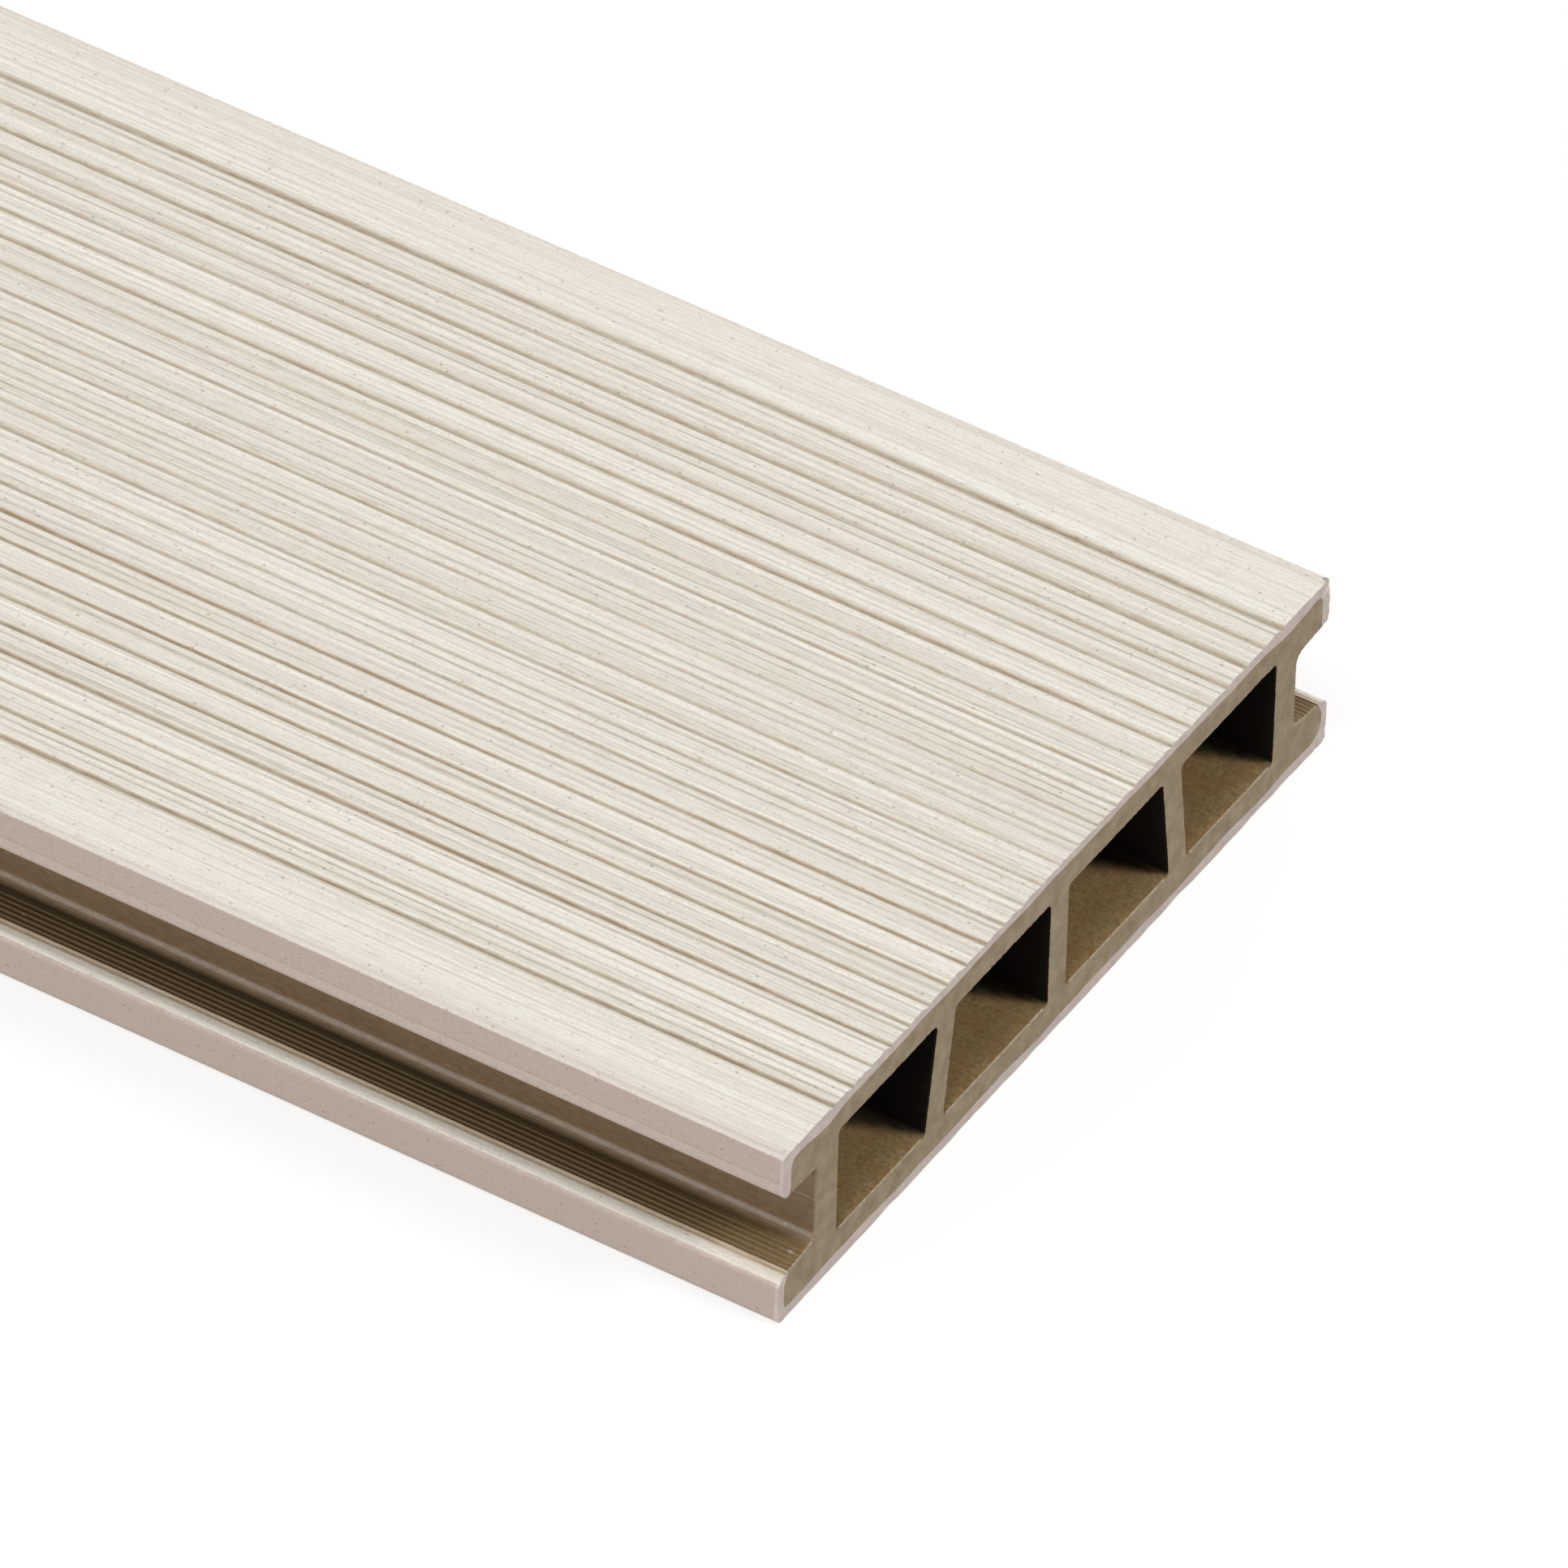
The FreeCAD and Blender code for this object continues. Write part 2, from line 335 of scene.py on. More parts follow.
# Scattered flecks: cells of Scale per metre, a Share of them holding a dot of up to Size of the cell.
# The dots are drawn out along the board and are not all as dark.
def makeFleckGroup():
    group, entry, leave = newGroup(
        "fleckScatter",
        [("Vector", "NodeSocketVector", None), ("Scale", "NodeSocketFloat", 400.0),
         ("Size", "NodeSocketFloat", 0.2), ("Share", "NodeSocketFloat", 0.2)], "Mask")
    stretch = addNode(group, "ShaderNodeVectorMath", operation="MULTIPLY")
    stretch.inputs[1].default_value = fleckShape["stretch"]
    group.links.new(entry.outputs["Vector"], stretch.inputs[0])
    cells = addNode(group, "ShaderNodeTexVoronoi", feature="F1")
    group.links.new(stretch.outputs[0], cells.inputs["Vector"])
    group.links.new(entry.outputs["Scale"], cells.inputs["Scale"])
    chance = addNode(group, "ShaderNodeSeparateColor")
    group.links.new(cells.outputs["Color"], chance.inputs[0])
    size = mathNode(group, "MULTIPLY", entry.outputs["Size"], chance.outputs[1])
    dot = setInputs(addNode(group, "ShaderNodeMapRange", clamp=True), **{"To Min": 1.0, "To Max": 0.0})
    group.links.new(cells.outputs["Distance"], dot.inputs["Value"])
    group.links.new(size, dot.inputs["From Max"])
    chosen = mathNode(group, "LESS_THAN", chance.outputs[0], entry.outputs["Share"])
    tone = remap(group, chance.outputs[2], 0.0, 1.0, fleckShape["palest"], 1.0)
    darkness = mathNode(group, "MULTIPLY", chosen, tone)
    group.links.new(mathNode(group, "MULTIPLY", dot.outputs[0], darkness), leave.inputs["Mask"])
    return group


grainGroup = makeGrainGroup()
fleckGroup = makeFleckGroup()


def useGroup(tree, group, vector, **values):
    node = addNode(tree, "ShaderNodeGroup", node_tree=group)
    tree.links.new(vector, node.inputs["Vector"])
    return setInputs(node, **values).outputs[0]


def newMaterial(name):
    material = bpy.data.materials.new(name)
    material.use_nodes = True
    tree = material.node_tree
    shader = next(node for node in tree.nodes if node.type == "BSDF_PRINCIPLED")
    where = addNode(tree, "ShaderNodeTexCoord").outputs["Object"]
    return material, tree, shader, where


def readMark(tree, name):
    return addNode(tree, "ShaderNodeAttribute", attribute_name=name).outputs["Fac"]


def useNoises(tree, where, noises):
    return {name: useGroup(tree, grainGroup, where, **values) for name, values in noises.items()}


# Colour with scattered flecks of another tone over it
def addFlecks(tree, where, colour, tone, strength, spread):
    specks = useGroup(tree, fleckGroup, where, **spread)
    return mixColour(tree, mathNode(tree, "MULTIPLY", specks, strength), colour, tone)


# Bump from two noises, each times its own height
def addBump(tree, shader, heights, strength, distance):
    parts = [mathNode(tree, "MULTIPLY", noise, height) for noise, height in heights]
    bump = setInputs(addNode(tree, "ShaderNodeBump"), Strength=strength, Distance=distance)
    tree.links.new(mathNode(tree, "ADD", *parts), bump.inputs["Height"])
    tree.links.new(bump.outputs[0], shader.inputs["Normal"])


# Colours are linear. A span is a noise's low and high values and the strengths that these give, or 0 and 1.
capLooks = dict(
    cream=(0.932, 0.901, 0.818), shade=(0.75, 0.70, 0.62), groove=(0.32, 0.23, 0.13),
    flank=(0.56, 0.455, 0.385), flankShade=(0.505, 0.405, 0.34), sawn=(0.59, 0.485, 0.43),
    sawnPale=(0.70, 0.605, 0.545), fleck=(0.16, 0.12, 0.09), rust=(0.45, 0.30, 0.17),
    flecks=(("fleck", 0.8, dict(Scale=800.0, Size=0.2, Share=0.12)),
            ("fleck", 0.8, dict(Scale=1500.0, Size=0.36, Share=0.4)),
            ("rust", 0.8, dict(Scale=900.0, Size=0.28, Share=0.16))),
    noises=dict(streak=dict(Along=5.0, Across=1900.0, Detail=2.0),
                band=dict(Along=3.0, Across=160.0, Detail=2.0),
                dashes=dict(Along=260.0, Across=2600.0, Detail=3.0),
                pores=dict(Along=1900.0, Across=2600.0, Detail=3.0),
                smear=dict(Along=200.0, Across=380.0, Detail=5.0)),
    shadeSpans=dict(streak=(0.45, 0.62, 0.0, 0.6), band=(0.5, 0.7, 0.0, 0.35),
                    dashes=(0.5, 0.68, 0.0, 0.6), pores=(0.5, 0.68, 0.0, 0.8)),
    flankPores=(0.4, 0.65), raggedDashes=(0.3, 0.7, 0.8, 1.2), sawnSmear=(0.35, 0.68),
    roughPores=(0.3, 0.7, 0.44, 0.64), streakHeight=0.7, poreHeight=1.4, bump=(0.5, 0.0001),
)


# Cream capstock: streaks along the board, brown grooves, pinkish side faces, dark and rusty flecks, sawn ends
def makeCapMaterial(name, looks):
    material, tree, shader, where = newMaterial(name)
    noises = useNoises(tree, where, looks["noises"])
    pores = noises["pores"]
    colour = looks["cream"]
    for noise, span in looks["shadeSpans"].items():
        colour = mixColour(tree, remap(tree, noises[noise], *span), colour, looks["shade"])
    side = mixColour(tree, remap(tree, pores, *looks["flankPores"]), looks["flank"], looks["flankShade"])
    # The flank mark gives the side colour, and along the top edge a painted shade
    colour = mixColour(tree, readMark(tree, "flank"), colour, side)
    # Brown by the deep mark: partly dirt, partly painted shade in the grooves and on the base cap's shoulder
    ragged = remap(tree, noises["dashes"], *looks["raggedDashes"])
    ragged = mathNode(tree, "MULTIPLY", readMark(tree, "deep"), ragged)
    colour = mixColour(tree, ragged, colour, looks["groove"])
    for tone, strength, spread in looks["flecks"]:
        colour = addFlecks(tree, where, colour, looks[tone], strength, spread)
    smear = remap(tree, noises["smear"], *looks["sawnSmear"])
    sawn = mixColour(tree, smear, looks["sawn"], looks["sawnPale"])
    bare = mathNode(tree, "MAXIMUM", readMark(tree, "cut"), readMark(tree, "rim"))
    tree.links.new(mixColour(tree, bare, colour, sawn), shader.inputs["Base Color"])
    tree.links.new(remap(tree, pores, *looks["roughPores"]), shader.inputs["Roughness"])
    heights = ((noises["streak"], looks["streakHeight"]), (pores, looks["poreHeight"]))
    addBump(tree, shader, heights, *looks["bump"])
    return material


coreLooks = dict(
    brown=(0.21, 0.138, 0.076), dark=(0.13, 0.082, 0.043), fibre=(0.3, 0.22, 0.14),
    patch=(0.195, 0.13, 0.068), chamberShade=(0.012, 0.009, 0.006), slotShade=(0.064, 0.043, 0.02),
    ridge=(0.21, 0.15, 0.08), dust=(0.5, 0.48, 0.42), sawn=(0.352, 0.275, 0.175),
    sawnPale=(0.445, 0.357, 0.243), sawnDark=(0.255, 0.195, 0.12), rim=(0.47, 0.40, 0.30),
    wisps=(0.6, dict(Scale=900.0, Size=0.34, Share=0.12)),
    dustSpecks=(0.9, dict(Scale=560.0, Size=0.24, Share=0.16)),
    crumbs=(0.4, dict(Scale=1100.0, Size=0.5, Share=0.35)),
    noises=dict(fibres=dict(Along=550.0, Across=1500.0, Detail=4.0),
                grit=dict(Along=1100.0, Across=2600.0, Detail=3.0),
                blotch=dict(Along=230.0, Across=300.0, Detail=3.0),
                mottle=dict(Along=300.0, Across=330.0, Detail=5.0)),
    brownFibres=(0.36, 0.6, 0.35, 1.0), darkGrit=(0.52, 0.72, 0.0, 0.45), patchBlotch=(0.48, 0.66, 0.0, 0.6),
    sawnMottle=(0.34, 0.66), sawnGrit=(0.4, 0.6, 0.0, 0.7), rimGrit=(0.4, 0.6),
    roughness=0.42, mattRoughness=0.8, gloss=0.4, fibreHeight=0.5, gritHeight=0.5, bump=(0.5, 0.0001),
)
chamberLooks = dict(
    coreLooks, brown=(0.29, 0.20, 0.092), dark=(0.15, 0.096, 0.038), patch=(0.26, 0.135, 0.055), gloss=0.1,
    noises=dict(coreLooks["noises"], fibres=dict(Along=1300.0, Across=1500.0, Detail=4.0)),
)


# Brown core: drawn skin with fibres, painted shade in the chambers, painted light on die ridges, mottled matt
# sawn ends
def makeCoreMaterial(name, looks):
    material, tree, shader, where = newMaterial(name)
    shader.inputs["Specular IOR Level"].default_value = looks["gloss"]
    noises = useNoises(tree, where, looks["noises"])
    fibres = noises["fibres"]
    grit = noises["grit"]
    colour = mixColour(tree, remap(tree, fibres, *looks["brownFibres"]), looks["dark"], looks["brown"])
    colour = mixColour(tree, remap(tree, grit, *looks["darkGrit"]), colour, looks["dark"])
    colour = mixColour(tree, remap(tree, noises["blotch"], *looks["patchBlotch"]), colour, looks["patch"])
    colour = addFlecks(tree, where, colour, looks["fibre"], *looks["wisps"])
    # Painted shade on the slot floor by its root, and painted light on the die ridge tops and the raised wall
    # line
    for mark in ("slotShade", "ridge"):
        colour = mixColour(tree, readMark(tree, mark), colour, looks[mark])
    colour = addFlecks(tree, where, colour, looks["dust"], *looks["dustSpecks"])
    # Painted shade on the chamber walls and roof, and painted shadow on the chamber floors
    colour = mixColour(tree, readMark(tree, "chamberShade"), colour, looks["chamberShade"])
    mottle = remap(tree, noises["mottle"], *looks["sawnMottle"])
    sawn = mixColour(tree, mottle, looks["sawnDark"], looks["sawnPale"])
    sawn = mixColour(tree, remap(tree, grit, *looks["sawnGrit"]), sawn, looks["sawn"])
    sawn = addFlecks(tree, where, sawn, looks["sawnDark"], *looks["crumbs"])
    cut = readMark(tree, "cut")
    rim = readMark(tree, "rim")
    pale = mixColour(tree, remap(tree, grit, *looks["rimGrit"]), looks["sawn"], looks["rim"])
    colour = mixColour(tree, rim, mixColour(tree, cut, colour, sawn), pale)
    tree.links.new(colour, shader.inputs["Base Color"])
    matt = mathNode(tree, "MAXIMUM", cut, rim)
    for mark in ("chamberShade", "slotShade"):
        matt = mathNode(tree, "MAXIMUM", matt, readMark(tree, mark))
    roughness = remap(tree, matt, 0.0, 1.0, looks["roughness"], looks["mattRoughness"])
    tree.links.new(roughness, shader.inputs["Roughness"])
    heights = ((fibres, looks["fibreHeight"]), (grit, looks["gritHeight"]))
    addBump(tree, shader, heights, *looks["bump"])
    return material


capMaterial = makeCapMaterial("creamCapstock", capLooks)
coreMaterial = makeCoreMaterial("brownComposite", coreLooks)
chamberMaterial = makeCoreMaterial("dullChamber", chamberLooks)
print("materials made")


seatLooks = dict(
    middleRise=0.45, rootSag=0.5, sagPlace=59.0, sagWidth=3.5, ripple=0.14, rippleLength=17.0, rippleSeed=71,
    baseRipple=0.26, baseRippleLength=31.0, baseRippleSeed=72, baseSwell=0.3, swellPlace=61.0, swellWidth=4.0,
    nearCorner=0.9, farCorner=3.0, fadeWidth=2.0, step=1.2,
)


# Seat of the top cap on the core: the cap thins towards the middle, sags over the side walls and ripples
def topSeatLine(looks):
    p = place
    reach = p["coreLipReach"]
    line = roundedLine([(-reach, p["lipUnder"], 0), (-reach, p["coreTop"], p["coreRound"]),
                        (reach, p["coreTop"], p["coreRound"]), (reach, p["lipUnder"], 0)], looks["step"])
    across = np.abs(line[:, 0])
    rise = looks["middleRise"] * np.clip(1 - (across / p["cavityHalf"]) ** 2, 0, 1)
    rise = rise - looks["rootSag"] * softBump(across, looks["sagPlace"], looks["sagWidth"])
    rise = rise + looks["ripple"] * slowNoise(line[:, 0], looks["rippleSeed"], looks["rippleLength"])
    onFlat = np.abs(line[:, 1] - p["coreTop"]) < tiny
    fade = np.clip((reach - p["coreRound"] - across) / looks["fadeWidth"], 0, 1)
    line[:, 1] += rise * fade * onFlat
    return line


# Seat of the base cap: a slow ripple, thicker by the lower lips, with a rounder corner on the far side
def baseSeatLine(looks):
    p = place
    reach = p["coreBaseReach"]
    line = roundedLine([(p["bevelInner"], p["lowerLip"], 0), (reach, p["coreBevelFoot"], 0),
                        (reach, p["baseCap"], looks["farCorner"]),
                        (-reach, p["baseCap"], looks["nearCorner"]),
                        (-reach, p["coreBevelFoot"], 0), (-p["bevelInner"], p["lowerLip"], 0)], looks["step"])
    across = np.abs(line[:, 0])
    rise = looks["baseRipple"] * slowNoise(line[:, 0], looks["baseRippleSeed"], looks["baseRippleLength"])
    rise = rise + looks["baseSwell"] * softBump(across, looks["swellPlace"], looks["swellWidth"])
    onFlat = np.abs(line[:, 1] - p["baseCap"]) < tiny
    fade = np.clip((reach - looks["farCorner"] - across) / looks["fadeWidth"], 0, 1)
    line[:, 1] += rise * fade * onFlat
    return line


topSeat = topSeatLine(seatLooks)
baseSeat = baseSeatLine(seatLooks)


# Spreads are the lowest and highest chance factors, and wanders the values that slowWander takes.
topCapLooks = dict(
    grooves=25, margin=13.0, nearFlank=1.5, farFlank=0.5, nearPower=1.2, grooveDepth=0.65, middleDepth=0.4,
    outwardPower=0.8, farShare=0.5, depthSpread=(0.8, 1.0), nearSpread=(0.75, 1.1), farSpread=(0.75, 1.3),
    driftWander=(0.1, 8, 420.0, 410.0), chanceSeed=41,
    lineShift=0.12, lineWidth=0.27, lineSpread=(0.8, 1.2), farWidening=0.6,
    tintSides=(-1.0, -0.33, -0.2, 0.4, 0.5, 1.0), tintLevels=(0.83, 0.91, 0.63, 0.61, 0.78, 0.68),
    tintSpread=(0.88, 1.04), tintWander=(0.12, 9, 150.0, 170.0),
    ribLines=(0.85, 1.6, 2.35, 3.05, 3.85), ribLineStrength=(0.6, 0.95, 0.5, 1.0, 0.5),
    edgeLineFirst=1.2, edgeLineGap=0.8, edgeLinePitch=0.9, edgeLineStrength=0.32, edgeLinePower=4,
    fineLine=dict(width=0.33, jitter=0.2, strengthSpread=(0.3, 1.0), widthSpread=(0.7, 1.3), tableStep=0.05),
    fineSeeds=(5, 6), fineShare=0.6, fineWander=dict(amount=0.3, wavelength=240.0, shift=60.0),
    fineDepth=0.07, fineTint=0.58,
    ribTone=0.09, tonePower=1.5, toneWander=(0.4, 10, 600.0, 230.0), marginTone=0.05,
    crownDrop=0.2, crownWidth=1.6, crownPower=1.6, flankDrop=0.15, flankSoft=0.2, edgeShade=0.45,
    lipLineDrop=0.66, lipLineDepth=0.06, lipLineWidth=0.14, lipLineTint=0.34, belowLineFade=0.1,
    lipStep=0.16, acrossStep=0.19, fineLength=330.0, fineStep=5.2, coarseStep=70.0, lastStep=0.6,
    chip=0.13, chipSeed=12, cornerChip=0.9, cornerPlace=68.9, cornerWidth=0.5,
)


# Fine drawn lines across the board: seeded dips of unequal strength and width, the strongest one counting
def fineLineProfile(seed, centres, strengths, looks):
    rng = np.random.default_rng(seed)
    across = np.arange(-place["halfWidth"], place["halfWidth"], looks["tableStep"])
    middle = centres + rng.uniform(-looks["jitter"], looks["jitter"], len(centres))
    strong = strengths * rng.uniform(*looks["strengthSpread"], len(centres))
    wide = looks["width"] * rng.uniform(*looks["widthSpread"], len(centres))
    dips = strong[:, None] * softBump(across[None], middle[:, None], wide[:, None])
    return across, dips.max(axis=0)


# Strength of the fine lines at (x, y): a few on each rib, and others on the margins, stronger by the grooves.
# Two seeded sets are added, and each comes and goes along the board.
def fineLines(x, y, last, pitch, looks):
    ribs = np.arange(looks["grooves"] - 1) * pitch - last
    ribLines = (ribs[:, None] + np.array(looks["ribLines"])[None]).ravel()
    ribStrengths = np.tile(looks["ribLineStrength"], len(ribs))
    margin = looks["margin"]
    edgeLines = np.arange(looks["edgeLineFirst"], margin - looks["edgeLineGap"], looks["edgeLinePitch"])
    edgeStrengths = looks["edgeLineStrength"] * (1 + (edgeLines / margin) ** looks["edgeLinePower"])
    lines = np.concatenate([ribLines, edgeLines - place["halfWidth"], place["halfWidth"] - edgeLines])
    strengths = np.concatenate([ribStrengths, edgeStrengths, edgeStrengths])
    fine = np.zeros_like(y)
    for seed in looks["fineSeeds"]:
        table = fineLineProfile(seed, lines, strengths, looks["fineLine"])
        share = looks["fineShare"] + slowWander(x, y, seed=seed, **looks["fineWander"])
        fine = fine + np.interp(y, *table) * share
    return np.clip(fine, 0, 1)


# Depth below the top face at (x, y), and the mark for brown grooves and darker fine lines.
# Each groove falls gently from its near side to its bottom and rises steeply on its far side.
# Its brown follows tintLevels from the board's near side (-1) to its far side (1).
def topRelief(x, y, looks):
    rng = np.random.default_rng(looks["chanceSeed"])
    count = looks["grooves"]
    last = place["halfWidth"] - looks["margin"]
    pitch = 2 * last / (count - 1)
    lean = (looks["nearFlank"] - looks["farFlank"]) / 2
    index = np.clip(np.rint((y + lean + last) / pitch), 0, count - 1).astype(int)
    side = np.linspace(-1, 1, count)
    outward = np.abs(side) ** looks["outwardPower"] * np.where(side > 0, looks["farShare"], 1.0)
    depth = looks["middleDepth"] + (looks["grooveDepth"] - looks["middleDepth"]) * outward
    depth = (depth * rng.uniform(*looks["depthSpread"], count))[index]
    near = (looks["nearFlank"] * rng.uniform(*looks["nearSpread"], count))[index]
    far = (looks["farFlank"] * rng.uniform(*looks["farSpread"], count))[index]
    # The groove brown is partly dirt and partly painted shade on each groove's steep far wall
    tint = np.interp(side, looks["tintSides"], looks["tintLevels"])
    tint = (tint * rng.uniform(*looks["tintSpread"], count))[index]
    tint = tint * (1 + slowWander(x, index, *looks["tintWander"]))
    wide = looks["lineWidth"] * (1 + looks["farWidening"] * np.clip(side, 0, 1))
    wide = (wide * rng.uniform(*looks["lineSpread"], count))[index]
    off = y - (index * pitch - last) - slowWander(x, index, *looks["driftWander"])
    gentle = np.clip(1 + off / near, 0, 1) ** looks["nearPower"]
    groove = depth * np.where(off > 0, np.clip(1 - off / far, 0, 1), gentle)
    fine = fineLines(x, y, last, pitch, looks)
    rib = np.clip(np.floor((y + last) / pitch), -1, count - 1).astype(int) + 1
    tone = (rng.random(count + 1) ** looks["tonePower"])[rib]
    tone = tone * (1 + slowWander(x, rib, *looks["toneWander"]))
    tone = np.where((rib > 0) & (rib < count), looks["ribTone"] * tone, looks["marginTone"])
    deep = tint * softBump(off, looks["lineShift"], wide) + looks["fineTint"] * fine + tone
    return groove + looks["fineDepth"] * fine, np.clip(deep, 0, 1)


# Top cap: a channel ring of lip, ribbed top, lip and seat, carried along the board.
# By its edges the top falls by crownDrop times a power of the way through crownWidth.
def makeTopCap(looks):
    p = place
    shoulder = p["lipReach"] - p["edgeRound"]
    edgeHeight = p["top"] - looks["crownDrop"]
    lip = roundedLine([(p["coreLipReach"], p["lipUnder"], 0), (p["lipReach"], p["lipUnder"], p["lipRound"]),
                       (p["lipReach"], edgeHeight, p["edgeRound"]), (shoulder, edgeHeight, 0)],
                      looks["lipStep"])
    across = np.linspace(shoulder, -shoulder, int(2 * shoulder / looks["acrossStep"]))[1:-1]
    crown = np.clip((np.abs(across) - shoulder + looks["crownWidth"]) / looks["crownWidth"], 0, 1)
    crown = crown ** looks["crownPower"]
    ribbed = np.stack([across, p["top"] - looks["crownDrop"] * crown], 1)
    ring = np.concatenate([lip, ribbed, mirrored(lip), topSeat[1:-1]])
    x = stations(looks["fineLength"], looks["fineStep"], looks["coarseStep"], looks["lastStep"])
    xs = np.broadcast_to(x[:, None], (len(x), len(ring))).copy()
    y = np.broadcast_to(ring[:, 0], xs.shape).copy()
    z = np.broadcast_to(ring[:, 1], xs.shape).copy()
    top = slice(len(lip), len(lip) + len(ribbed))
    outside = np.arange(len(ring)) < 2 * len(lip) + len(ribbed)
    deep = np.zeros_like(y)
    drop, deep[:, top] = topRelief(xs[:, top], y[:, top], looks)
    z[:, top] -= drop
    onFace = np.abs(np.abs(y) - p["lipReach"]) < tiny
    # Painted shade along the top edge: the edge rounding and the crown take some side colour
    flank = np.clip((edgeHeight - looks["flankDrop"] - z) / looks["flankSoft"], looks["edgeShade"], 1)
    flank = flank * outside
    flank[:, top] = looks["edgeShade"] * crown
    lineHeight = p["top"] - p["upperLip"] * looks["lipLineDrop"]
    thin = softBump(z, lineHeight, looks["lipLineWidth"]) * onFace
    y -= np.sign(y) * thin * looks["lipLineDepth"]
    deep += looks["lipLineTint"] * thin
    flank *= 1 - looks["belowLineFade"] * (z < lineHeight)
    rng = np.random.default_rng(looks["chipSeed"])
    aboveCore = ring[:, 1] > p["coreTop"]
    for end, sign in ((0, 1), (-1, -1)):
        nibble = nibbles(rng, len(ring)) * looks["chip"]
        corner = softBump(ring[:, 0], -sign * looks["cornerPlace"], looks["cornerWidth"]) * aboveCore
        xs[end] += sign * (nibble + looks["cornerChip"] * corner) * outside
    grid = np.stack([xs, y, z], -1)
    rim = (flank[-1] > 0.5) * 1.0  # mostly side colour
    dull = np.zeros(len(ring), dtype=bool)
    marks = dict(deep=[deep], flank=[flank])
    piece = sweptBar("ribbed_top_cap", [grid], [rim], [dull], marks, [capMaterial])
    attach(piece, "root")
    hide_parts("top_cap")


baseCapLooks = dict(
    lipEdge=1.5, lineStep=0.15, edgeZone=3.0, flatThinning=6, footSlack=0.1, flankSoft=0.2,
    shoulderLine=0.5, shoulderDepth=0.1, shoulderWidth=0.2, shoulderTint=0.2, shoulderShade=0.6,
    dentShade=0.5, innerShade=0.2, depths=(0.0, 0.6, 20.0), step=110.0, chip=0.12, chipSeed=23,
)


# Base cap: a channel ring of shoulder, outer face, underside and seat, carried along the board.
# A shallow bell-shaped dent runs along each shoulder, and the shoulder has painted shade, darker towards its
# inner edge.
def makeBaseCap(looks):
    p = place
    side = [(p["halfWidth"], 0, p["baseRound"]), (p["halfWidth"], p["bevelFoot"], looks["lipEdge"]),
            (p["bevelInner"], p["lowerLip"], 0)]
    otherSide = [(-across, up, radius) for across, up, radius in side[::-1]]
    outer = roundedLine(otherSide + side, looks["lineStep"])
    byEdge = np.abs(outer[:, 0]) > p["halfWidth"] - looks["edgeZone"]
    outer = outer[byEdge | (np.arange(len(outer)) % looks["flatThinning"] == 0)]
    ring = np.concatenate([outer, baseSeat[1:-1]])
    isOuter = np.arange(len(ring)) < len(outer)
    fromCrest = np.hypot(np.abs(ring[:, 0]) - p["bevelInner"], ring[:, 1] - p["lowerLip"])
    foot = p["bevelFoot"] - looks["footSlack"]
    onShoulder = isOuter & (ring[:, 1] > foot)
    dent = softBump(fromCrest, looks["shoulderLine"], looks["shoulderWidth"]) * onShoulder
    flank = np.clip((foot - ring[:, 1]) / looks["flankSoft"], looks["shoulderTint"], 1) * isOuter
    # Painted shade where the upper lip shelters the shoulder, deepest by its inner edge
    inner = np.clip(1 - fromCrest / looks["shoulderLine"], 0, 1) * onShoulder
    sheltered = np.clip(1 - fromCrest / p["bevelWidth"], 0, 1) * onShoulder
    deep = looks["dentShade"] * dent + looks["innerShade"] * inner + looks["shoulderShade"] * sheltered
    ring = ring - ringNormals(ring) * (dent * looks["shoulderDepth"])[:, None]
    x = endStations(looks["depths"], looks["step"])
    xs = np.broadcast_to(x[:, None], (len(x), len(ring))).copy()
    y = np.broadcast_to(ring[:, 0], xs.shape)
    z = np.broadcast_to(ring[:, 1], xs.shape)
    rng = np.random.default_rng(looks["chipSeed"])
    for end, sign in ((0, 1), (-1, -1)):
        xs[end] += sign * nibbles(rng, len(ring)) * looks["chip"] * isOuter
    grid = np.stack([xs, y, z], -1)
    rim = (flank > 0.5) * 1.0  # mostly side colour
    dull = np.zeros(len(ring), dtype=bool)
    marks = dict(deep=[np.broadcast_to(deep, xs.shape)], flank=[np.broadcast_to(flank, xs.shape)])
    piece = sweptBar("base_cap_channel", [grid], [rim], [dull], marks, [capMaterial])
    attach(piece, "root")
    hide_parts("base_cap")


coreBarLooks = dict(
    nearRoots=(1.8, 0.5), farRoots=(0.7, 1.8), slotStep=0.1, dieStart=0.15, diePitch=0.85, dieFirst=0.63,
    dieReach=4.5, dieSoft=0.4, dieDepth=0.12, dieFade=0.08, rootReach=5.7, rootSoft=0.7, dullFrom=0.75,
    wallLine=0.45, wallLineDepth=0.08, wallLineWidth=0.13, wallLineRidge=0.35, wallSlack=0.05,
    lowRim=0.8, highRim=0.4, endLight=0.75, endLightReach=13.0,
    chamberStep=0.45, floorLine=1.3, floorLineDepth=0.03, floorSlack=0.02, dimStart=0.1, dimSoft=0.5,
    gloomSlope=0.4, gloomStart=0.4, gloomSoft=2.0, gloomMost=0.9,
    brokenEdge=0.22, brokenSpread=(0.3, 1.0), brokenSeed=31,
    depths=(0.0, 0.22, 2.0, 4.0, 7.0, 10.0, 14.0, 19.0, 25.0, 32.0, 42.0, 60.0), step=100.0,
)


# Slot outline on the +Y side, from the shoulder in to the wall and out along the upper lip.
# Roots are the radii of its low and high inner corners.
def slotLine(roots, step):
    p = place
    return roundedLine([(p["bevelInner"], p["lowerLip"], 0), (p["slotWall"], p["crestRoot"], roots[0]),
                        (p["slotWall"], p["lipUnderRoot"], roots[1]), (p["coreLipReach"], p["lipUnder"], 0)],
                       step)


